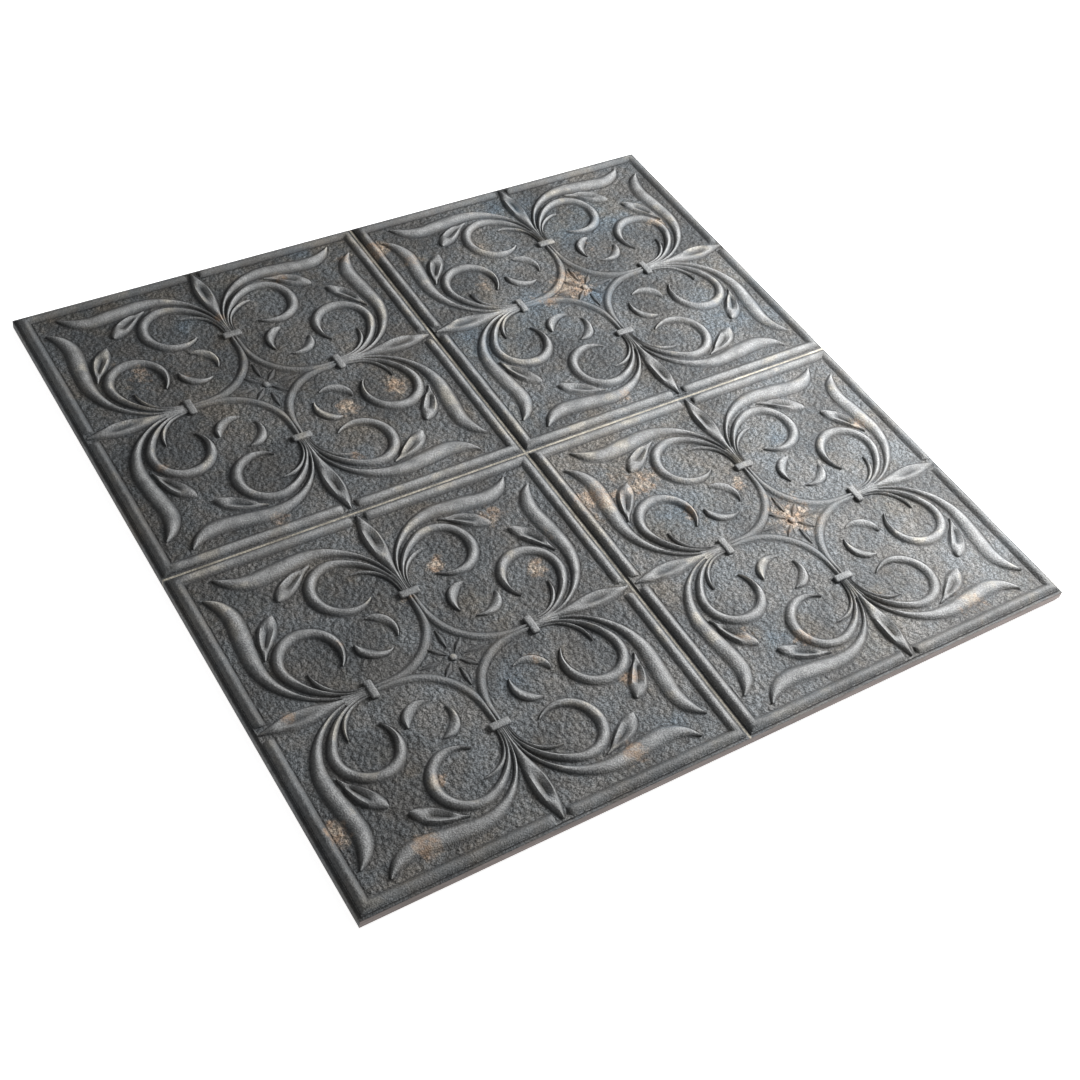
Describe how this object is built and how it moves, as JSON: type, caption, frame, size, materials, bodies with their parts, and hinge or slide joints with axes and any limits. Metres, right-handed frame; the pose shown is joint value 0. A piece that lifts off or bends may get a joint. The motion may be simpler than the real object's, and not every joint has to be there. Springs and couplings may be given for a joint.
{
  "type": "porcelain wall tile",
  "caption": "Square pressed porcelain wall tile whose face is scored into beaded panels, each with a raised scroll and leaf motif, dark and worn like an old stamped metal ceiling.",
  "frame": {"origin": "middle of the flat back, on the plane of the ribs that the tile lies on", "axes": "+Z out of the decorated face, +X and +Y along two neighbouring sides"},
  "size_m": [0.333, 0.333, 0.0073],
  "materials": {
    "glazed_face": "matte"
  },
  "bodies": {
    "root": {"tile": "glazed_face"}
  },
  "joints": []
}
